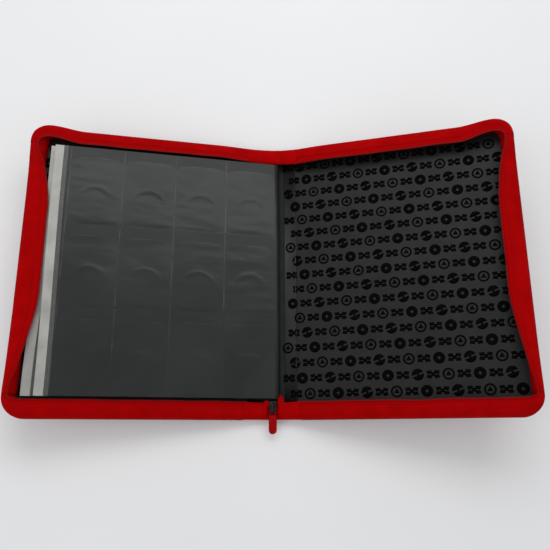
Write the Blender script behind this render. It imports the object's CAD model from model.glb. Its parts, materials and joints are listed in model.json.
"""Looks of a zip-around trading card binder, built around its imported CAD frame. Metres, +Z up."""
import json
import math

import bmesh
import bpy
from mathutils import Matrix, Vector, noise


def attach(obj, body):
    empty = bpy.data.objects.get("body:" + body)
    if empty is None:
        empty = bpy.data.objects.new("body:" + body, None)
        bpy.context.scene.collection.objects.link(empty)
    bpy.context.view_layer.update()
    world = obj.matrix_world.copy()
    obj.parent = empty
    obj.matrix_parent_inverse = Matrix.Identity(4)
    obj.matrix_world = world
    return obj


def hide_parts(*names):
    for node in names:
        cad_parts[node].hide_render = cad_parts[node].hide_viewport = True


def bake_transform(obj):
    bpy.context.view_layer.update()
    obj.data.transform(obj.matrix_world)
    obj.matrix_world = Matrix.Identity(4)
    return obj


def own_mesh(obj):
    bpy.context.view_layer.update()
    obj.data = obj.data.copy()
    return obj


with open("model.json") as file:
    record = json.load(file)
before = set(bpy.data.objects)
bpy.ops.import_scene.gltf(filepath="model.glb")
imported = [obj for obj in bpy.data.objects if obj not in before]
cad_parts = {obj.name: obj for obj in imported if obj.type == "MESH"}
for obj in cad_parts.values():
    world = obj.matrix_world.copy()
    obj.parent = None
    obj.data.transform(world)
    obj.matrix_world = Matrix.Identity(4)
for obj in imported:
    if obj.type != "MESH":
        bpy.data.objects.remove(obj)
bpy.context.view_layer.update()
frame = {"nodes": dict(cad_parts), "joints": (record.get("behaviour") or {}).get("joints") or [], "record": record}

MM = 0.001

# Driving sizes, in metres, as the CAD has them
COVER_WIDTH = 299 * MM
COVER_HEIGHT = 371 * MM
CORNER_RADIUS = 25 * MM
BACK_TILT = math.radians(10)
FRONT_TILT = math.radians(18)
LINING_TOP = 3.1 * MM
PAGE_COUNT = 20
PAGE_PITCH = 0.65 * MM
PAGE_HEIGHT = 320 * MM
PAGE_SHIFT = -0.5 * MM
# The soft wall's lowest and highest places over a cover's fold line
WALL_FOOT = -1.6 * MM
ZIP_TOP = 21 * MM
# The pocket grid of a page, and the strips outside it
POCKET_WIDTH = 67.5 * MM
POCKET_COLUMNS = 4
POCKET_ROWS = 3
WELD_STRIP = 5.5 * MM
PALE_STRIP = 10.8 * MM

JOINTS = {joint["name"]: joint for joint in frame["joints"]}
BODY_OF = {
    node: body
    for body, nodes in frame["record"]["behaviour"]["bodies"].items()
    for node in nodes
}


# ---------------------------------------------------------------- materials

class Surface:
    """A procedural material: a principled shader, with helpers for its colour, gloss and bumps."""

    def __init__(self, name, roughness, metallic=0.0, specular=0.5, alpha=1.0):
        self.material = bpy.data.materials.new(name)
        self.material.use_nodes = True
        self.nodes = self.material.node_tree.nodes
        self.links = self.material.node_tree.links
        self.shader = self.nodes["Principled BSDF"]
        self.shader.inputs["Roughness"].default_value = roughness
        self.shader.inputs["Metallic"].default_value = metallic
        self.shader.inputs["Specular IOR Level"].default_value = specular
        self.shader.inputs["Alpha"].default_value = alpha
        self.place = self.nodes.new("ShaderNodeTexCoord").outputs["Object"]
        self.bump_chain = None

    def noise(self, scale, detail=3.0, stretch=None, distortion=0.0):
        node = self.nodes.new("ShaderNodeTexNoise")
        node.inputs["Scale"].default_value = scale
        node.inputs["Detail"].default_value = detail
        node.inputs["Distortion"].default_value = distortion
        self.links.new(self.stretched(stretch), node.inputs["Vector"])
        return node.outputs["Fac"]

    def cells(self, scale):
        node = self.nodes.new("ShaderNodeTexVoronoi")
        node.inputs["Scale"].default_value = scale
        self.links.new(self.place, node.inputs["Vector"])
        return node.outputs["Distance"]

    def waves(self, scale, axis, distortion=0.0):
        node = self.nodes.new("ShaderNodeTexWave")
        node.bands_direction = axis
        node.inputs["Scale"].default_value = scale
        node.inputs["Distortion"].default_value = distortion
        self.links.new(self.place, node.inputs["Vector"])
        return node.outputs["Fac"]

    def stretched(self, stretch):
        """The places that a texture is drawn at, scaled along each axis."""
        if stretch is None:
            return self.place
        node = self.nodes.new("ShaderNodeMapping")
        node.inputs["Scale"].default_value = stretch
        self.links.new(self.place, node.inputs["Vector"])
        return node.outputs["Vector"]

    def colour(self, low, high, value, start=0.3, end=0.7):
        """The base colour runs from low to high as value goes from start to end."""
        node = self.nodes.new("ShaderNodeValToRGB")
        node.color_ramp.elements[0].position = start
        node.color_ramp.elements[0].color = (*low, 1)
        node.color_ramp.elements[1].position = end
        node.color_ramp.elements[1].color = (*high, 1)
        self.links.new(value, node.inputs["Fac"])
        self.links.new(node.outputs["Color"], self.shader.inputs["Base Color"])
        return self

    def vary_roughness(self, value, low, high):
        """The roughness runs from low to high as value goes from 0 to 1."""
        node = self.nodes.new("ShaderNodeMapRange")
        node.inputs["To Min"].default_value = low
        node.inputs["To Max"].default_value = high
        self.links.new(value, node.inputs["Value"])
        self.links.new(node.outputs["Result"], self.shader.inputs["Roughness"])
        return self

    def bump(self, value, height, strength):
        """Bumps up to height metres, on top of the bumps given before."""
        node = self.nodes.new("ShaderNodeBump")
        node.inputs["Strength"].default_value = strength
        node.inputs["Distance"].default_value = height
        self.links.new(value, node.inputs["Height"])
        if self.bump_chain is not None:
            self.links.new(self.bump_chain, node.inputs["Normal"])
        self.bump_chain = node.outputs["Normal"]
        self.links.new(self.bump_chain, self.shader.inputs["Normal"])
        return self


def red_cloth():
    """Coated cloth of the gusset walls: an even red with a fine pressed grain."""
    surface = Surface("red_cloth", 0.85, specular=0.02)
    surface.colour((0.31, 0.0004, 0.0008), (0.39, 0.0008, 0.0014), surface.noise(55))
    surface.bump(surface.cells(1400), 0.15 * MM, 0.35)
    return surface.bump(surface.noise(90, 2), 0.8 * MM, 0.25).material


def red_leather():
    """Outer skin: the same red with a pebbled leather grain."""
    surface = Surface("red_leather", 0.55, specular=0.06)
    surface.colour((0.26, 0.0006, 0.001), (0.36, 0.0012, 0.002), surface.noise(40))
    surface.bump(surface.cells(520), 0.4 * MM, 0.6)
    surface.vary_roughness(surface.noise(300), 0.42, 0.62)
    return surface.bump(surface.noise(900, 4), 0.1 * MM, 0.4).material


def red_tape():
    """Woven zip tape: fine ribs along and across."""
    surface = Surface("red_tape", 0.85, specular=0.02)
    surface.colour((0.30, 0.0004, 0.0008), (0.40, 0.0008, 0.0014), surface.noise(700, 2))
    surface.bump(surface.waves(420, "Y"), 0.12 * MM, 0.5)
    return surface.bump(surface.waves(420, "X"), 0.12 * MM, 0.5).material


def red_thread():
    surface = Surface("red_thread", 0.6, specular=0.1)
    surface.colour((0.22, 0.0006, 0.001), (0.32, 0.001, 0.002), surface.noise(1500, 1))
    return surface.bump(surface.waves(1800, "X", 3), 0.08 * MM, 0.6).material


def red_rubber():
    surface = Surface("red_rubber", 0.6, specular=0.05)
    surface.colour((0.25, 0.001, 0.001), (0.33, 0.001, 0.002), surface.noise(160))
    return surface.bump(surface.noise(2500, 2), 0.06 * MM, 0.5).material


def zip_coil():
    surface = Surface("zip_coil", 0.4, specular=0.12)
    surface.colour((0.24, 0.0006, 0.001), (0.33, 0.001, 0.002), surface.noise(900))
    return surface.bump(surface.noise(2600, 1), 0.05 * MM, 0.4).material


def lining_cloth(name, low, high, specular):
    surface = Surface(name, 0.45, specular=specular)
    surface.colour(low, high, surface.noise(28, 4))
    surface.bump(surface.waves(520, "X"), 0.08 * MM, 0.3)
    surface.bump(surface.waves(520, "Y"), 0.08 * MM, 0.3)
    return surface.bump(surface.noise(35, 2), 0.7 * MM, 0.25).material


def black_lining():
    """Lining cloth: charcoal, smooth, with a faint weave."""
    return lining_cloth("black_lining", (0.0065, 0.0068, 0.0066), (0.0115, 0.0118, 0.0115), 0.21)


def fold_lining():
    """The same cloth over the fold, a little paler where it is worn."""
    return lining_cloth("fold_lining", (0.011, 0.0114, 0.0112), (0.018, 0.0185, 0.0182), 0.3)


def gutter_cloth():
    surface = Surface("gutter_cloth", 0.7, specular=0.25)
    surface.colour((0.006, 0.007, 0.007), (0.014, 0.015, 0.015), surface.noise(60))
    return surface.bump(surface.noise(420, 3), 0.3 * MM, 0.4).material


def print_ink():
    """The lining's printed motifs: matt black ink."""
    surface = Surface("print_ink", 0.7, specular=0.02)
    surface.colour((0.0012, 0.0012, 0.0013), (0.003, 0.003, 0.0032), surface.noise(200))
    return surface.bump(surface.noise(900, 2), 0.05 * MM, 0.3).material


def page_black():
    """Black backing sheet of a page."""
    surface = Surface("page_black", 0.4, specular=0.3)
    surface.colour((0.008, 0.0085, 0.0085), (0.015, 0.0155, 0.0155), surface.noise(25, 4))
    surface.bump(surface.noise(16, 3, (1, 2.2, 1)), 1.2 * MM, 0.3)
    return surface.bump(surface.noise(1200, 2), 0.04 * MM, 0.3).material


def page_film():
    """Clear pocket film: a dark see-through sheen with fine wrinkles."""
    surface = Surface("page_film", 0.24, specular=0.4, alpha=0.55)
    surface.colour((0.019, 0.02, 0.0197), (0.036, 0.038, 0.037), surface.noise(14, 3))
    surface.bump(surface.noise(22, 3, (1, 2.6, 1), 0.6), 1.1 * MM, 0.28)
    surface.vary_roughness(surface.noise(30, 3), 0.2, 0.34)
    return surface.bump(surface.noise(90, 1), 0.1 * MM, 0.15).material


def film_weld():
    """The pressed lines where the film is welded to the page: paler than the film."""
    surface = Surface("film_weld", 0.3, specular=0.5, alpha=0.5)
    patches = surface.noise(22, 3, (1, 2, 1))
    surface.colour((0.02, 0.021, 0.02), (0.065, 0.067, 0.064), patches, 0.4, 0.6)
    return surface.bump(surface.noise(900, 2), 0.08 * MM, 0.4).material


def page_strip():
    """The pale strip along a page's outer edge."""
    surface = Surface("page_strip", 0.35, specular=0.5)
    surface.colour((0.29, 0.285, 0.265), (0.42, 0.412, 0.385), surface.noise(30, 3))
    return surface.bump(surface.noise(500, 2), 0.06 * MM, 0.3).material


def page_weld():
    """The embossed weld beside the pale strip: a grid of small pressed dots."""
    surface = Surface("page_weld", 0.4, specular=0.5)
    surface.colour((0.012, 0.012, 0.011), (0.09, 0.09, 0.083), surface.cells(900), 0.2, 0.8)
    return surface.bump(surface.cells(900), 0.25 * MM, 0.7).material


def dark_metal():
    surface = Surface("dark_metal", 0.32, metallic=0.9)
    surface.colour((0.012, 0.012, 0.013), (0.035, 0.035, 0.037), surface.noise(500, 3))
    surface.vary_roughness(surface.noise(700), 0.25, 0.45)
    return surface.bump(surface.noise(2200, 1), 0.03 * MM, 0.3).material


def pale_floor():
    surface = Surface("pale_floor", 0.9, specular=0.1)
    surface.colour((0.81, 0.81, 0.81), (0.83, 0.83, 0.83), surface.noise(3))
    return surface.material


def grey_board():
    surface = Surface("grey_board", 0.9, specular=0.2)
    surface.colour((0.22, 0.20, 0.17), (0.32, 0.30, 0.25), surface.noise(400, 4))
    return surface.bump(surface.noise(900, 3), 0.1 * MM, 0.5).material


def foam():
    surface = Surface("foam", 0.95, specular=0.1)
    surface.colour((0.03, 0.03, 0.033), (0.05, 0.05, 0.055), surface.cells(900))
    return surface.bump(surface.cells(900), 0.2 * MM, 0.6).material


FINISH = {make.__name__: make() for make in (
    red_cloth, red_leather, red_tape, red_thread, red_rubber, zip_coil, black_lining, fold_lining,
    gutter_cloth, print_ink, page_black, page_film, film_weld, page_strip, page_weld, dark_metal,
    pale_floor, grey_board, foam,
)}


# ---------------------------------------------------------------- mesh helpers

def new_piece(name, verts, faces, finishes, body, slot, face_finish=None, smooth=True):
    """A mesh piece that rides on a body, with one of the finishes on each face, as face_finish says."""
    mesh = bpy.data.meshes.new(name)
    mesh.from_pydata([tuple(v) for v in verts], [], faces)
    tidy = bmesh.new()
    tidy.from_mesh(mesh)
    bmesh.ops.recalc_face_normals(tidy, faces=tidy.faces)
    tidy.to_mesh(mesh)
    tidy.free()
    for finish in finishes:
        mesh.materials.append(FINISH[finish])
    for index, polygon in enumerate(mesh.polygons):
        polygon.use_smooth = smooth
        polygon.material_index = face_finish(index) if face_finish else 0
    piece = bpy.data.objects.new(name, mesh)
    bpy.context.scene.collection.objects.link(piece)
    if body is not None:
        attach(piece, body)
    return piece


def grid_faces(rows, columns, first=0):
    """Quads between the points of a grid, which are numbered row by row from first."""
    return [
        (first + r * columns + c, first + r * columns + c + 1,
         first + (r + 1) * columns + c + 1, first + (r + 1) * columns + c)
        for r in range(rows - 1)
        for c in range(columns - 1)
    ]


def grid_piece(name, rows, finish, body, slot, thickness=None):
    """A sheet over a grid of points, thickened where a thickness is given."""
    columns = len(rows[0])
    verts = [point for row in rows for point in row]
    piece = new_piece(name, verts, grid_faces(len(rows), columns), [finish], body, slot)
    if thickness:
        thicken(piece, thickness)
    return piece


def thicken(piece, thickness):
    """Gives a sheet a thickness, half to each side."""
    solidify = piece.modifiers.new("thickness", "SOLIDIFY")
    solidify.thickness = thickness
    solidify.offset = 0
    solidify.use_even_offset = True


FACES_PER_BLOCK = 14  # three bands of four, and two ends


def add_block(verts, faces, centre, x, y, z):
    """A block with chamfered ends, centred on a point, with half-size vectors x, y and z."""
    first = len(verts)
    for end in (-1, 1):
        for reach, share in ((1.0, 0.55), (0.6, 1.0)):
            for j, k in ((-1, -1), (1, -1), (1, 1), (-1, 1)):
                verts.append(centre + x * end * reach + (y * j + z * k) * share)
    rings = [first, first + 4, first + 12, first + 8]
    for lower, upper in zip(rings, rings[1:]):
        for i in range(4):
            faces.append((lower + i, lower + (i + 1) % 4, upper + (i + 1) % 4, upper + i))
    faces.append(tuple(rings[0] + i for i in range(4)))
    faces.append(tuple(rings[3] + i for i in range(4)))


def apply_modifiers(piece):
    """Turns a piece's modifiers into its mesh."""
    bpy.context.view_layer.update()
    shape = bpy.data.meshes.new_from_object(piece.evaluated_get(bpy.context.evaluated_depsgraph_get()))
    piece.modifiers.clear()
    piece.data = shape


def lerp(a, b, t):
    return a + (b - a) * t


def spaced(start, end, step):
    """Values from start to end, about a step apart."""
    count = max(2, round((end - start) / step) + 1)
    return [lerp(start, end, i / (count - 1)) for i in range(count)]


def smooth_step(value, start, end):
    t = min(max((value - start) / (end - start), 0.0), 1.0)
    return t * t * (3 - 2 * t)


def ring_of_points(radius, count, turn=0.0, squeeze=1.0):
    return [(radius * math.cos(2 * math.pi * i / count + turn),
             squeeze * radius * math.sin(2 * math.pi * i / count + turn)) for i in range(count)]


# ---------------------------------------------------------------- a cover's own frame

class Cover:
    """Places on a cover: u runs out from the fold line, v along the spine, w up from the cover."""

    def __init__(self, side, tilt, sign):
        self.side = side
        self.body = side + "_cover"
        self.fold = Vector(JOINTS[side + "_cover_fold"]["pos_m"])
        self.cos = math.cos(tilt)
        self.sin = math.sin(tilt)
        self.sign = sign

    def at(self, u, v, w):
        x = self.sign * (u * self.cos - w * self.sin)
        return self.fold + Vector((x, v, u * self.sin + w * self.cos))

    def outwards(self):
        return Vector((self.sign * self.cos, 0, self.sin))


BACK = Cover("back", BACK_TILT, -1)
FRONT = Cover("front", FRONT_TILT, 1)
HALF = COVER_HEIGHT / 2
STRAIGHT = COVER_WIDTH - CORNER_RADIUS
FOLD_LINE = FRONT.fold.x


# ---------------------------------------------------------------- gusset, zip tape and coil

# How far the zip edge leans in from the cover's edge: along each edge, and on the side by each corner
LEANS = {
    "back": {"near": 19 * MM, "far": 20 * MM, "far_corner": 14 * MM, "side": 29 * MM},
    "front": {"near": 19 * MM, "far": 24 * MM, "far_corner": 15 * MM, "side": 25 * MM},
}
CORNER_LEAN = {-1: 7 * MM, 1: 10 * MM}
# How far in the wall's inner facing meets the lining
FACING_EDGE = 10 * MM
FACING_SIDE = {"back": {-1: 16 * MM, 1: 21 * MM}, "front": {-1: 12 * MM, 1: 16 * MM}}
WALL_START = 13 * MM
HEM = 3.6 * MM
WALL_FOOT_INSET = 0.7 * MM
# How far the wall bulges out, and how high it turns inwards, on the near (-1) and far (1) edges
BULGE = {-1: 1 * MM, 1: 2.2 * MM}
KNEE = {-1: 15 * MM, 1: 17 * MM}
CORNER_KNEE = {-1: 18 * MM, 1: 27 * MM}
CORNER_BULGE = {-1: 1 * MM, 1: 4 * MM}
SPINE_KNEE = 12 * MM
SIDE_KNEE = 18 * MM
SIDE_KNEE_DROP = 1.5 * MM
# Where the zip rises from its height at the spine to its full height, and how far it sags between
ZIP_RISE = (-10 * MM, 55 * MM)
SPINE_TOP = 15.5 * MM
EDGE_SAG = 1.5 * MM
SIDE_SAG = 4 * MM
# The lengths over which the lean changes by the corners: on an edge, and on the near and far side
LEAN_FADE = 45 * MM
SLUMP_NEAR = (-20 * MM, 130 * MM)
SLUMP_FAR = (-30 * MM, 90 * MM)
SLUMP_END = 30 * MM
# Share of its lean by which the wall has moved in at its knee, and what the side's slump adds
KNEE_SHIFT = 0.04
SLUMP_SHIFT = 0.13
EDGE_RIPPLE = 1.2 * MM
SIDE_RIPPLE = 1 * MM
# Thicknesses, and the sizes of the small repeated pieces as half lengths along, across and up
CLOTH = 1.3 * MM
FACING_CLOTH = 0.8 * MM
TAPE_CLOTH = 0.7 * MM
COIL_PITCH = 1.9 * MM
COIL_TURN = (0.6 * MM, 1.1 * MM, 0.8 * MM)
STITCH_PITCH = 3.4 * MM
STITCH = (1.2 * MM, 0.25 * MM, 0.22 * MM)
SEAM_RADIUS = 1.5 * MM
SEAM_INSET = 0.6 * MM
SEAM_HEIGHT = -1.9 * MM


def edge_station(cover, u, end):
    """A place on the near (end -1) or far (end 1) edge of a cover."""
    leans = LEANS[cover.side]
    fade = smooth_step(STRAIGHT - u, 0, LEAN_FADE)
    full = leans["near"] if end < 0 else lerp(leans["far_corner"], leans["far"], fade)
    rise = smooth_step(u, *ZIP_RISE)
    ripple = EDGE_RIPPLE * noise.noise(Vector((u * 22, end * 3.1, cover.sign)))
    return {
        "place": Vector((u, end * HALF)),
        "inward": Vector((0.0, -end)),
        "lean": Vector((0.0, -end * (full + ripple * fade))),
        "facing": Vector((0.0, -end * FACING_EDGE)),
        "top": lerp(SPINE_TOP, ZIP_TOP, rise) - EDGE_SAG * fade,
        "bulge": lerp(CORNER_BULGE[end], BULGE[end], fade),
        "knee": lerp(CORNER_KNEE[end], lerp(SPINE_KNEE, KNEE[end], rise), fade),
        "shift": KNEE_SHIFT,
    }


def corner_station(cover, angle, end):
    """A place round a corner: angle 0 ends the near or far edge, a quarter turn starts the side."""
    across, along = math.sin(angle), math.cos(angle)
    at_edge = edge_station(cover, STRAIGHT, end)
    at_side = side_station(cover, end * (HALF - CORNER_RADIUS))
    centre = Vector((STRAIGHT, end * (HALF - CORNER_RADIUS)))
    return {
        "place": centre + CORNER_RADIUS * Vector((across, end * along)),
        "inward": Vector((-across, -end * along)),
        "lean": at_edge["lean"] * along + at_side["lean"] * across,
        "facing": at_edge["facing"] * along + at_side["facing"] * across,
        "top": ZIP_TOP,
        "bulge": lerp(at_side["bulge"], at_edge["bulge"], along),
        "knee": lerp(at_side["knee"], at_edge["knee"], min(1, 1.6 * along)),
        "shift": KNEE_SHIFT,
    }


def side_station(cover, v):
    """A place on the outer edge, which slumps inwards between the stiff corners."""
    reach = HALF - CORNER_RADIUS
    slump = smooth_step(v + reach, *SLUMP_NEAR) * smooth_step(reach - v, *SLUMP_FAR)
    slump *= smooth_step(reach - abs(v), 0, SLUMP_END)
    ends = lerp(CORNER_LEAN[-1], CORNER_LEAN[1], (v + reach) / (2 * reach))
    facing = FACING_SIDE[cover.side]
    ripple = SIDE_RIPPLE * noise.noise(Vector((v * 20, 7.7, cover.sign)))
    return {
        "place": Vector((COVER_WIDTH, v)),
        "inward": Vector((-1.0, 0.0)),
        "lean": Vector((-(ends + (LEANS[cover.side]["side"] - ends + ripple) * slump), 0.0)),
        "facing": Vector((-lerp(facing[-1], facing[1], (v + reach) / (2 * reach)), 0.0)),
        "top": ZIP_TOP - SIDE_SAG * slump,
        "bulge": 0.0,
        "knee": SIDE_KNEE - SIDE_KNEE_DROP * slump,
        "shift": KNEE_SHIFT + SLUMP_SHIFT * slump,
    }


def end_stations(cover, end):
    """From beside the spine to the end of the corner."""
    along = [lerp(WALL_START, STRAIGHT, i / 60) for i in range(60)]
    turns = [math.pi / 2 * i / 16 for i in range(17)]
    return [edge_station(cover, u, end) for u in along] + [corner_station(cover, a, end) for a in turns]


def side_stations(cover):
    reach = HALF - CORNER_RADIUS
    return [side_station(cover, lerp(-reach, reach, i / 70)) for i in range(71)]


def rim_place(station, inwards, lean, up):
    """A place in a station's section: metres straight inwards, metres along its lean, and up."""
    place = station["place"] + station["inward"] * inwards + station["lean"].normalized() * lean
    return Vector((place.x, place.y, up))


def bezier(points, t):
    """A place on the smooth curve that the points control."""
    while len(points) > 1:
        points = [a.lerp(b, t) for a, b in zip(points, points[1:])]
    return points[0]


def wall_section(station, count=14):
    """The cloth wall: up from its foot, bulging out a little, and over inwards to its hem."""
    lean = station["lean"].length
    controls = [
        rim_place(station, WALL_FOOT_INSET, 0, WALL_FOOT),
        rim_place(station, -station["bulge"], 0, 0.45 * station["knee"]),
        rim_place(station, -station["bulge"], station["shift"] * lean, station["knee"]),
        rim_place(station, 0, lean - HEM * lean / (20 * MM), station["top"] - 1.8 * MM),
    ]
    return [bezier(controls, i / (count - 1)) for i in range(count)]


def tape_section(station, count=5):
    """The zip tape, from under the wall's hem to the coil."""
    start = wall_section(station)[-3] - Vector((0, 0, 0.4 * MM))
    end = rim_place(station, 0, station["lean"].length + 0.8 * MM, station["top"] - 0.4 * MM)
    return [start.lerp(end, i / (count - 1)) for i in range(count)]


def facing_section(station, count=9):
    """The wall's inner facing, from behind the coil down to the lining."""
    lean = station["lean"].length
    foot = station["place"] + station["facing"]
    controls = [
        rim_place(station, 0, lean - 0.5 * MM, station["top"] - 1.2 * MM),
        Vector((*(foot + station["inward"] * 0.5 * MM), 0.6 * station["top"])),
        Vector((*foot, LINING_TOP + 0.2 * MM)),
    ]
    return [bezier(controls, i / (count - 1)) for i in range(count)]


def rim_rows(cover, stations, section):
    return [[cover.at(*point) for point in section(station)] for station in stations]


def run_of_blocks(name, cover, stations, where, pitch, size, finish, slot):
    """Small blocks spaced evenly along the rim, such as zip teeth or stitches."""
    line = [cover.at(*where(station)) for station in stations]
    upward = cover.at(0, 0, 1) - cover.at(0, 0, 0)
    verts, faces = [], []
    carried = 0.0
    for a, b in zip(line, line[1:]):
        along = (b - a).normalized()
        across = along.cross(upward).normalized()
        length = (b - a).length
        while carried < length:
            half_sizes = (along * size[0], across * size[1], upward * size[2])
            add_block(verts, faces, a + along * carried, *half_sizes)
            carried += pitch
        carried -= length
    return new_piece(name, verts, faces, [finish], cover.body, slot, smooth=False)


def coil_place(station):
    return rim_place(station, 0, station["lean"].length + 1.4 * MM, station["top"] + 0.1 * MM)


def stitch_place(station):
    return wall_section(station)[-2] + Vector((0, 0, CLOTH / 2 + 0.1 * MM))


def straighten_on_closing(piece, cover):
    """The slumped side stands up against its stiff corners as the cover closes."""
    anchor = cover.at(COVER_WIDTH - 4 * MM, 0, 0)
    tuple(cover.outwards())
    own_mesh(piece)


def rim(cover):
    """Gusset wall, facing, tape, coil and stitches of a cover, in three stretches."""
    stretches = {
        "near": end_stations(cover, -1),
        "far": end_stations(cover, 1),
        "outer": side_stations(cover),
    }
    for label, stations in stretches.items():
        stem = f"{cover.side}_{label}"
        wall_rows = rim_rows(cover, stations, wall_section)
        facing_rows = rim_rows(cover, stations, facing_section)
        tape_rows = rim_rows(cover, stations, tape_section)
        wall = grid_piece(stem + "_gusset_wall", wall_rows, "red_cloth", cover.body, "red_cloth", CLOTH)
        facing = grid_piece(stem + "_gusset_facing", facing_rows, "red_cloth", cover.body, "red_cloth",
                            FACING_CLOTH)
        tape = grid_piece(stem + "_zip_tape", tape_rows, "red_tape", cover.body, "red_tape", TAPE_CLOTH)
        coil = run_of_blocks(stem + "_zip_coil", cover, stations, coil_place, COIL_PITCH, COIL_TURN,
                             "zip_coil", "red_tape")
        stitches = run_of_blocks(stem + "_stitches", cover, stations, stitch_place, STITCH_PITCH, STITCH,
                                 "red_thread", "red_tape")
        seam = edge_seam(stem + "_edge_seam", cover, stations)
        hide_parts(cover.side + "_cover_gusset")
        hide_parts(cover.side + "_zip_tape")
        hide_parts(cover.side + "_zip_teeth")
        for piece in (wall, facing, tape, coil, stitches):
            apply_modifiers(piece)
            if label == "outer":
                straighten_on_closing(piece, cover)
        apply_modifiers(seam)


def edge_seam(name, cover, stations, sides=8):
    """The rolled seam where the wall's foot meets the outer skin."""
    circle = ring_of_points(SEAM_RADIUS, sides)
    outline = circle + circle[:1]
    rows = [
        [cover.at(*rim_place(station, SEAM_INSET + x, 0, SEAM_HEIGHT + y)) for x, y in outline]
        for station in stations
    ]
    return grid_piece(name, rows, "red_leather", cover.body, "red_cloth")


# ---------------------------------------------------------------- cloth over the spine and the folds

SPINE_END_REACH = 13 * MM
SPINE_CLOTH_TOP = 16 * MM
# The near end (-1) dips and stands back in its middle, under the slider, and the far end (1) a little
DIP_TOP = {-1: 11.5 * MM, 1: 15 * MM}
DIP_WIDTH = {-1: (4 * MM, 9 * MM), 1: (0, 12 * MM)}
DIP_LEAN = {-1: 16 * MM, 1: 24 * MM}
EDGE_LEAN = {-1: 20 * MM, 1: 24 * MM}
TAIL_ROOT_INSET = 13 * MM
TAIL_ROOT_HEIGHT = 13.5 * MM
TAIL_BEND_INSET = 19 * MM
TAIL_ROUNDING = 0.45
FOLD_SAG = 1 * MM
FOLD_STEPS = 14
# The outer skin over a fold: from where on the spine to where on the cover, and at what heights
FOLD_SKIN = 1 * MM
FOLD_SKIN_START = 17 * MM
FOLD_SKIN_END = 7 * MM
FOLD_SKIN_HEIGHT = 1 * MM
FOLD_SKIN_DEPTH = -2 * MM
FOLD_SKIN_INSET = 1 * MM
# The lining over a fold, which runs from the spine over the fold line onto the cover
GUTTER_CLOTH = 0.5 * MM
GUTTER_START = -8 * MM
GUTTER_END = 9 * MM
GUTTER_STEP = (GUTTER_END - GUTTER_START) / 14
GUTTER_INSET = 8 * MM
GUTTER_HEIGHT = 4.9 * MM
FOLD_LINE_HEIGHT = 5.4 * MM
LINING_LAP = 0.5 * MM


def spine_end_section(x, end, count=14):
    """Section of the soft spine end at a place across the spine."""
    beside_dip = smooth_step(abs(x), *DIP_WIDTH[end])
    top = lerp(DIP_TOP[end], SPINE_CLOTH_TOP, beside_dip)
    lean = lerp(DIP_LEAN[end], EDGE_LEAN[end], beside_dip)
    controls = [
        Vector((x, end * (HALF - 0.7 * MM), 1.2 * MM)),
        Vector((x, end * (HALF + BULGE[end]), 0.5 * top)),
        Vector((x, end * (HALF + 0.5 * BULGE[end]), top + 1 * MM)),
        Vector((x, end * (HALF - lean), top)),
    ]
    return [bezier(controls, i / (count - 1)) for i in range(count)]


def spine_end(end):
    """The soft cloth that closes the near (-1) or far (1) end of the spine."""
    label = "near" if end < 0 else "far"
    xs = [lerp(-SPINE_END_REACH, SPINE_END_REACH, i / 26) for i in range(27)]
    rows = [spine_end_section(x, end) for x in xs]
    piece = grid_piece(label + "_spine_end_cloth", rows, "red_cloth", "spine", "red_cloth", CLOTH)
    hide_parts(label + "_spine_gusset", label + "_zip_end")
    apply_modifiers(piece)


def zip_tail(name, x, tip_y, tip_z, width):
    """A loose tail of zip tape that stands up beside the slider."""
    root = Vector((x, -HALF + TAIL_ROOT_INSET, TAIL_ROOT_HEIGHT))
    bend = Vector((x, -HALF + TAIL_BEND_INSET, tip_z + 2.5 * MM))
    tip = Vector((x, tip_y, tip_z - 3 * MM))
    rows = []
    for i in range(13):
        t = i / 12
        centre = bezier([root, bend, tip], t)
        half = 0.5 * width * math.sqrt(max(1 - max(t - TAIL_ROUNDING, 0) ** 2 / 0.31, 0.03))
        rows.append([
            centre + Vector((half * side, 0, 0.8 * MM * (1 - side * side)))
            for side in (-1, -0.5, 0, 0.5, 1)
        ])
    piece = grid_piece(name, rows, "red_tape", "spine", "red_tape", 0.8 * MM)
    apply_modifiers(piece)


def fold_cloth(cover, end):
    """The cloth between a cover's wall and the spine's soft end, which bends at the fold."""
    label = "near" if end < 0 else "far"
    station = edge_station(cover, WALL_START + 1.5 * MM, end)
    edge = rim_place(station, 0, station["lean"].length + 1.8 * MM, station["top"] - 0.2 * MM)
    outer = [cover.at(*point) for point in wall_section(station)[:-1] + [edge]]
    inner = spine_end_section(cover.sign * (SPINE_END_REACH - 1 * MM), end)
    last = len(inner) - 1
    rows = []
    for i in range(FOLD_STEPS + 1):
        t = i / FOLD_STEPS
        sag = FOLD_SAG * math.sin(math.pi * t)
        rows.append([
            a.lerp(b, t) - Vector((0, 0, sag * j / last))
            for j, (a, b) in enumerate(zip(inner, outer))
        ])
    piece = grid_piece(f"{cover.side}_{label}_fold_cloth", rows, "red_cloth", None, "red_cloth", CLOTH)
    apply_modifiers(piece)
    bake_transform(piece)


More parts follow.
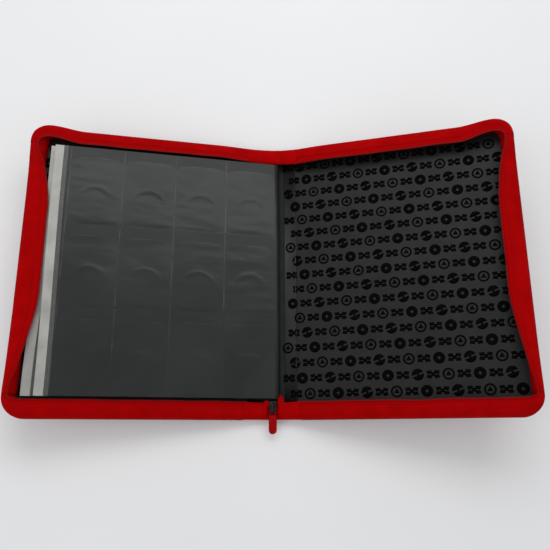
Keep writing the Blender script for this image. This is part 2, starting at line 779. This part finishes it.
def fold_skin(cover):
    """The outer skin and the gutter cloth where they bend over a fold line."""
    rows = []
    for v in (-HALF + FOLD_SKIN_INSET, 0, HALF - FOLD_SKIN_INSET):
        row = []
        for i in range(13):
            t = i / 12
            across_spine = lerp(FOLD_SKIN_START, FOLD_LINE, min(t * 2, 1))
            spine_point = Vector((cover.sign * across_spine, v, FOLD_SKIN_HEIGHT))
            cover_point = cover.at(lerp(0, FOLD_SKIN_END, max(2 * t - 1, 0)), v, FOLD_SKIN_DEPTH)
            row.append(spine_point.lerp(cover_point, smooth_step(t, 0.35, 0.65)))
        rows.append(row)
    skin = grid_piece(cover.side + "_fold_skin", rows, "red_leather", None, "red_cloth", FOLD_SKIN)
    apply_modifiers(skin)
    tuple(cover.at(3 * MM, 0, FOLD_SKIN_DEPTH))
    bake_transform(skin)
    gutter = grid_piece(cover.side + "_gutter_lining", gutter_rows(cover), "fold_lining", None,
                        "black_lining", GUTTER_CLOTH)
    apply_modifiers(gutter)
    blend_over_fold(gutter, cover)


def gutter_point(cover, u, v, lift=0.0):
    """A point on the lining where it runs from the spine (u below 0) over the fold onto the cover."""
    inner = Vector((cover.sign * (FOLD_LINE + GUTTER_START), v, GUTTER_HEIGHT + lift))
    middle = Vector((cover.sign * FOLD_LINE, v, FOLD_LINE_HEIGHT + lift))
    outer = cover.at(GUTTER_END, v, LINING_TOP + LINING_LAP + lift)
    return bezier([inner, middle, outer], (u - GUTTER_START) / (GUTTER_END - GUTTER_START))


def gutter_rows(cover):
    reach = HALF - GUTTER_INSET
    return [
        [gutter_point(cover, u, v) for u in spaced(GUTTER_START, GUTTER_END, GUTTER_STEP)]
        for v in (-reach, 0, reach)
    ]


def blend_over_fold(piece, cover):
    tuple(cover.at(7 * MM, 0, 3 * MM))
    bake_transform(piece)


# ---------------------------------------------------------------- lining print

MOTIF_SPACING = 18 * MM
MOTIF_ROW = 19.6 * MM
MOTIF_SHIFT = 9.6 * MM
MOTIF_RADIUS = 7.2 * MM
PRINT_MARGIN = 12 * MM
PRINT_EDGE = 8 * MM
INK_HEIGHT = 0.12 * MM
INK_THICKNESS = 0.1 * MM
# Over the fold the print stands higher, to clear the bending cloth, and comes down over FOLD_LANDING
FOLD_INK_HEIGHT = 0.6 * MM
FOLD_INK_LIFT = 0.95 * MM
FOLD_LANDING = 4 * MM


def washer(outer, inner):
    """Quads between two loops with the same number of points."""
    count = len(outer)
    points = outer + inner
    faces = [(i, (i + 1) % count, count + (i + 1) % count, count + i) for i in range(count)]
    return points, faces


def merged(*shapes):
    """Several shapes, each a list of points and a list of faces, as one."""
    points, faces = [], []
    for shape_points, shape_faces in shapes:
        first = len(points)
        points += shape_points
        faces += [tuple(first + i for i in face) for face in shape_faces]
    return points, faces


def moved(shape, dx, dy):
    points, faces = shape
    return [(x + dx, y + dy) for x, y in points], faces


def holed_disc():
    """A disc with a diamond left open in its middle."""
    r = MOTIF_RADIUS
    diamond = [(0.32 * r * math.copysign(math.cos(a) ** 2, math.cos(a)),
                0.32 * r * math.copysign(math.sin(a) ** 2, math.sin(a)))
               for a in (2 * math.pi * i / 24 for i in range(24))]
    return washer(ring_of_points(r, 24), diamond)


def split_disc():
    """A disc split by one slanting open bar, with a dot across its middle."""
    r = MOTIF_RADIUS
    halves = []
    for side in (-1, 1):
        arc = [math.radians(8 + 164 * i / 14) for i in range(15)]
        loop = [(r * math.cos(a), side * r * math.sin(a)) for a in arc]
        turned = [(0.94 * x - 0.34 * y, 0.34 * x + 0.94 * y) for x, y in loop]
        halves.append((turned, [tuple(range(15))]))
    return merged(*halves, (ring_of_points(0.2 * r, 8), [tuple(range(8))]))


def ringed_triangle():
    """A thick ring round a triangle."""
    r = MOTIF_RADIUS
    ring = washer(ring_of_points(r, 24), ring_of_points(0.68 * r, 24))
    triangle = (ring_of_points(0.56 * r, 3, math.pi / 2), [(0, 1, 2)])
    return merged(ring, triangle)


def spark():
    """A four-pointed blot: a ragged cross of lozenges round a dot."""
    r = MOTIF_RADIUS
    shapes = [(ring_of_points(0.34 * r, 10), [tuple(range(10))])]
    for x, y in ((-1, -1), (1, -1), (1, 1), (-1, 1)):
        lozenge = ring_of_points(0.6 * r, 4, math.radians(32) * x * y, 0.66)
        shapes.append(moved((lozenge, [(0, 1, 2, 3)]), 0.62 * r * x, 0.36 * r * y))
    return merged(*shapes)


def lining_print(cover):
    """Rows of motifs over a cover's lining, each row shifted a step from the last."""
    main = [holed_disc(), split_disc(), ringed_triangle()]
    small = spark()
    rows = int((COVER_HEIGHT - 2 * PRINT_MARGIN) / MOTIF_ROW)
    on_cover, on_fold = ([], []), ([], [])
    for row in range(rows + 1):
        v = -HALF + PRINT_MARGIN + row * MOTIF_ROW
        for step in range(int((COVER_WIDTH + row * MOTIF_SHIFT) / MOTIF_SPACING) + 1):
            u = GUTTER_START + MOTIF_RADIUS - row * MOTIF_SHIFT + step * MOTIF_SPACING
            if not GUTTER_START + 4 * MM <= u <= COVER_WIDTH - PRINT_EDGE - MOTIF_RADIUS:
                continue
            points, shape_faces = small if step % 2 else main[(step // 2 + row) % 3]
            crosses = u < GUTTER_END + MOTIF_RADIUS
            verts, faces = on_fold if crosses else on_cover
            first = len(verts)
            verts += [print_point(cover, u + x, v + y) for x, y in points]
            faces += [tuple(first + i for i in face) for face in shape_faces]
    flat = new_piece(cover.side + "_lining_print", *on_cover, ["print_ink"], cover.body, "black_lining")
    bent = new_piece(cover.side + "_fold_print", *on_fold, ["print_ink"], None, "black_lining")
    for piece in (flat, bent):
        thicken(piece, INK_THICKNESS)
        apply_modifiers(piece)
    blend_over_fold(bent, cover)


def print_point(cover, u, v):
    if u < GUTTER_END:
        return gutter_point(cover, u, v, FOLD_INK_HEIGHT)
    lift = FOLD_INK_LIFT * smooth_step(GUTTER_END + FOLD_LANDING - u, 0, FOLD_LANDING)
    return cover.at(u, v, LINING_TOP + INK_HEIGHT + lift)


# ---------------------------------------------------------------- pages

AXIS = Vector(JOINTS["page_block_fold"]["pos_m"])
PAGE_OUT = Vector((-math.cos(BACK_TILT), 0, math.sin(BACK_TILT)))
PAGE_UP = Vector((math.sin(BACK_TILT), 0, math.cos(BACK_TILT)))
PAGE_LOW = PAGE_SHIFT - PAGE_HEIGHT / 2
ROW_HEIGHT = PAGE_HEIGHT / POCKET_ROWS
FIELD_END = POCKET_WIDTH * POCKET_COLUMNS
LIP_DROP = 15 * MM
LIP_CORNER_DROP = 7 * MM
BINDING_REACH = 2.6 * MM
SHEET = 0.25 * MM
SHEET_STEP = 12 * MM
# The film's distance from its page, and for the top page and the others how far it is filled out, and
# how fine its mesh is
FILM_GAP = 0.16 * MM
TOP_FULLNESS = 1.3 * MM
LOWER_FULLNESS = 0.02 * MM
TOP_FILM_STEP = 2.2 * MM
LOWER_FILM_STEP = 9 * MM
WELD_HALF_WIDTH = 0.9 * MM
WELD_HALF_HEIGHT = 0.22 * MM
# Share of its width that a page keeps when the back cover is upright
# Where a page's outer edge lies at its near and far ends; some lower pages have slipped outwards
OUTER_EDGE = (286 * MM, 289.5 * MM)
SLIPPED_EDGES = {1: (287 * MM, 290.5 * MM), 8: (286 * MM, 296 * MM), 12: (302.5 * MM, 292 * MM)}


def page_level(number):
    return ((PAGE_COUNT + 1) / 2 - number) * PAGE_PITCH


def page_root(number):
    """Where a page's flat part starts: upper pages reach over the binding and bend down beyond it."""
    return -1 * MM if page_level(number) > BINDING_REACH else BINDING_REACH


def page_point(s, y, level):
    """A point on a page: s out from the binding axis, y along the spine, level over the axis."""
    return AXIS + PAGE_OUT * s + PAGE_UP * level + Vector((0, y, 0))


def outer_edge(number, y):
    """How far out a page reaches at a place along the spine."""
    near, far = SLIPPED_EDGES.get(number, OUTER_EDGE)
    return lerp(near, far, smooth_step((y - PAGE_LOW) / PAGE_HEIGHT, 0.05, 0.9))


def page_sheet(number):
    """The black backing with its pressed weld and pale outer strip."""
    body = BODY_OF[f"page_{number:02d}"]
    level = page_level(number)
    field = spaced(page_root(number), FIELD_END - 1 * MM, SHEET_STEP)
    rows = spaced(PAGE_LOW, PAGE_LOW + PAGE_HEIGHT, SHEET_STEP)
    verts = []
    for y in rows:
        end = outer_edge(number, y)
        weld = max(FIELD_END, end - PALE_STRIP - WELD_STRIP)
        outer = [weld, weld + 0.1 * MM, end - PALE_STRIP, end]
        verts += [page_point(s, y, level) for s in field + outer]
    columns = len(field) + len(outer)
    faces = grid_faces(len(rows), columns)
    strip = columns - 2

    def finish(index):
        return {strip: 2, strip - 1: 1}.get(index % (columns - 1), 0)

    name = f"page_{number:02d}_sheet"
    piece = new_piece(name, verts, faces, ["page_black", "page_weld", "page_strip"], body, "black_page",
                      finish, smooth=False)
    thicken(piece, SHEET)
    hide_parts(f"page_{number:02d}")
    return piece


def page_bend(number):
    """Where an upper page bends down round the binding."""
    level = page_level(number)
    rows = []
    for y in spaced(PAGE_LOW, PAGE_LOW + PAGE_HEIGHT, 80 * MM):
        row = [page_point(page_root(number), y, level)]
        for i in range(15):
            angle = math.radians(lerp(100, -50, i / 14))
            row.append(AXIS + Vector((level * math.cos(angle) + 1 * MM, y, level * math.sin(angle))))
        rows.append(row)
    piece = grid_piece(f"page_{number:02d}_bend", rows, "page_black", None, "black_page", SHEET)
    apply_modifiers(piece)
    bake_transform(piece)


def film_height(x, y, fullness):
    """How far film stands off its page; x and y run 0 to 1 over a pocket, y up to the lip."""
    across = 1 - abs(2 * x - 1) ** 3
    along = 0.35 + 0.65 * y ** 1.5
    foot = smooth_step(y, 0, 0.06)
    arch_radius = math.hypot((x - 0.5) * 1.25, (y - 0.28) * 1.5)
    arch = math.exp(-((arch_radius - 0.42) / 0.035) ** 2) * smooth_step(y, 0.3, 0.55)
    return fullness * (across * along * foot + 0.35 * arch * across)


def wrinkles(s, v, number):
    """Long and short wrinkles of the film, as a share of its fullness."""
    long_ones = noise.noise(Vector((s * 30, v * 90, number))) * 0.38
    return long_ones + noise.noise(Vector((s * 95, v * 210, number + 5))) * 0.16


def pocket_film(number, body, step, fullness):
    """Clear film over all pockets of a page's upper face, open along each pocket's top."""
    level = page_level(number) + FILM_GAP
    verts, faces = [], []
    columns = round(POCKET_WIDTH / step)
    rows = round((ROW_HEIGHT - LIP_DROP) / step)
    field_start = max(page_root(number), 0)
    width = (FIELD_END - field_start) / POCKET_COLUMNS
    for row in range(POCKET_ROWS):
        for column in range(POCKET_COLUMNS):
            first = len(verts)
            for j in range(rows + 1):
                for i in range(columns + 1):
                    x = i / columns
                    y = j / rows
                    s = field_start + (column + x) * width
                    drop = LIP_DROP + LIP_CORNER_DROP * abs(2 * x - 1) ** 5 * y ** 6
                    v = PAGE_LOW + row * ROW_HEIGHT + 0.6 * MM + y * (ROW_HEIGHT - drop)
                    edge = min(1, 8 * x, 8 * (1 - x)) * smooth_step(y, 0, 0.08)
                    height = film_height(x, y, fullness) + fullness * 0.5 * wrinkles(s, v, number) * edge
                    verts.append(page_point(s, v, level + max(height, 0.02 * MM)))
            faces += grid_faces(rows + 1, columns + 1, first)
    return new_piece(f"page_{number:02d}_film", verts, faces, ["page_film"], body, "black_page")


def weld_seams(number, body):
    """Raised welds between the pockets' columns and rows."""
    verts, faces = [], []
    level = page_level(number)
    start = max(page_root(number), 0)
    upward = PAGE_UP * WELD_HALF_HEIGHT
    for column in range(1, POCKET_COLUMNS + 1):
        s = lerp(start, FIELD_END, column / POCKET_COLUMNS)
        centre = page_point(s, PAGE_SHIFT, level)
        along = Vector((0, PAGE_HEIGHT / 2, 0))
        add_block(verts, faces, centre, along, PAGE_OUT * WELD_HALF_WIDTH, upward)
    for row in range(POCKET_ROWS):
        y = PAGE_LOW + row * ROW_HEIGHT + WELD_HALF_WIDTH
        centre = page_point((start + FIELD_END) / 2, y, level)
        along = PAGE_OUT * (FIELD_END - start) / 2
        add_block(verts, faces, centre, along, Vector((0, WELD_HALF_WIDTH, 0)), upward)

    def finish(index):
        return 0 if index < FACES_PER_BLOCK * POCKET_COLUMNS else 1

    return new_piece(f"page_{number:02d}_welds", verts, faces, ["film_weld", "page_film"], body,
                     "black_page", finish, smooth=False)


def page(number):
    """A page's sheet, film, welds and bend, which shorten together as the back cover closes."""
    body = BODY_OF[f"page_{number:02d}"]
    sheet = page_sheet(number)
    if number == 1:
        film = pocket_film(number, body, TOP_FILM_STEP, TOP_FULLNESS)
    else:
        film = pocket_film(number, body, LOWER_FILM_STEP, LOWER_FULLNESS)
    welds = weld_seams(number, body)
    if page_root(number) < 0:
        page_bend(number)
    apply_modifiers(sheet)
    for piece in (sheet, film, welds):
        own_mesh(piece)


# ---------------------------------------------------------------- nodes kept from the CAD

def repaint(node, finish):
    mesh = frame["nodes"][node].data
    mesh.materials.clear()
    mesh.materials.append(FINISH[finish])


def rounded_copy(node, finish, width):
    """A copy of a CAD node with its edges rounded, which stands for the node."""
    source = frame["nodes"][node]
    piece = bpy.data.objects.new(node + "_rounded", source.data.copy())
    bpy.context.scene.collection.objects.link(piece)
    weld = piece.modifiers.new("weld", "WELD")
    weld.merge_threshold = 0.01 * MM
    bevel = piece.modifiers.new("rounding", "BEVEL")
    bevel.width = width
    bevel.segments = 3
    bevel.limit_method = "ANGLE"
    bevel.angle_limit = math.radians(40)
    piece.data.materials.clear()
    piece.data.materials.append(FINISH[finish])
    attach(piece, BODY_OF[node])
    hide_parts(node)
    apply_modifiers(piece)
    for polygon in piece.data.polygons:
        polygon.use_smooth = True
    return piece


def carried_over_nodes():
    """Paints the CAD nodes that stay, and rounds the zip's metal and rubber parts."""
    for side in ("back", "front"):
        repaint(side + "_cover_foam", "foam")
        repaint(side + "_cover_board", "grey_board")
        repaint(side + "_cover_lining", "black_lining")
        repaint(side + "_cover_skin", "red_leather")
    repaint("spine_skin", "red_leather")
    repaint("spine_board", "grey_board")
    repaint("spine_lining", "gutter_cloth")
    repaint("page_binding", "gutter_cloth")
    rounded_copy("zip_slider", "dark_metal", 0.35 * MM)
    rounded_copy("zip_pull_link", "dark_metal", 0.25 * MM)
    rounded_copy("zip_pull_tab", "red_rubber", 0.6 * MM)


# ---------------------------------------------------------------- stage

CAMERA_PLACE = (-0.0274, -0.2115, 0.784)
CAMERA_TURN = (15.44, -2.24, -0.12)  # degrees round X, Y and Z, from looking straight down
CAMERA_LENS = 39.3
SENSOR_WIDTH = 36
FLOOR_REACH = 6
SKY_COLOUR = (0.93, 0.95, 0.97, 1)
SKY_STRENGTH = 0.67


def camera():
    """Looks down on the open binder, a little from its near side."""
    data = bpy.data.cameras.new("camera")
    data.sensor_width = SENSOR_WIDTH
    data.lens = CAMERA_LENS
    eye = bpy.data.objects.new("camera", data)
    eye.location = CAMERA_PLACE
    eye.rotation_euler = [math.radians(angle) for angle in CAMERA_TURN]
    bpy.context.scene.collection.objects.link(eye)
    bpy.context.scene.camera = eye


def area_light(name, place, target, size, power):
    """A soft rectangular light that faces a target."""
    data = bpy.data.lights.new(name, "AREA")
    data.shape = "RECTANGLE"
    data.size, data.size_y = size
    data.energy = power
    lamp = bpy.data.objects.new(name, data)
    lamp.location = place
    lamp.rotation_euler = (Vector(target) - Vector(place)).to_track_quat("-Z", "Y").to_euler()
    bpy.context.scene.collection.objects.link(lamp)


def stage():
    """A pale floor, an even sky and two soft lights."""
    corners = [(x * FLOOR_REACH, y * FLOOR_REACH, 0) for x, y in ((-1, -1), (1, -1), (1, 1), (-1, 1))]
    floor = new_piece("floor", corners, [(0, 1, 2, 3)], ["pale_floor"], None, "grey_board")
    world = bpy.context.scene.world or bpy.data.worlds.new("world")
    bpy.context.scene.world = world
    world.use_nodes = True
    world.node_tree.nodes["Background"].inputs["Color"].default_value = SKY_COLOUR
    world.node_tree.nodes["Background"].inputs["Strength"].default_value = SKY_STRENGTH
    area_light("key", (0.1, 0.85, 1.25), (0, 0.15, 0), (1.5, 0.7), 8.5)
    area_light("fill", (-1.2, -0.6, 1.6), (0, 0, 0), (1.2, 1.2), 5)
    bpy.context.scene.view_settings.view_transform = "Standard"


camera()
stage()
carried_over_nodes()
for each_cover in (BACK, FRONT):
    rim(each_cover)
    fold_skin(each_cover)
    lining_print(each_cover)
    fold_cloth(each_cover, -1)
    fold_cloth(each_cover, 1)
spine_end(-1)
spine_end(1)
zip_tail("left_zip_tail", -8 * MM, -162 * MM, 17 * MM, 7 * MM)
zip_tail("right_zip_tail", 10 * MM, -156 * MM, 16 * MM, 8 * MM)
for page_number in range(1, PAGE_COUNT + 1):
    page(page_number)
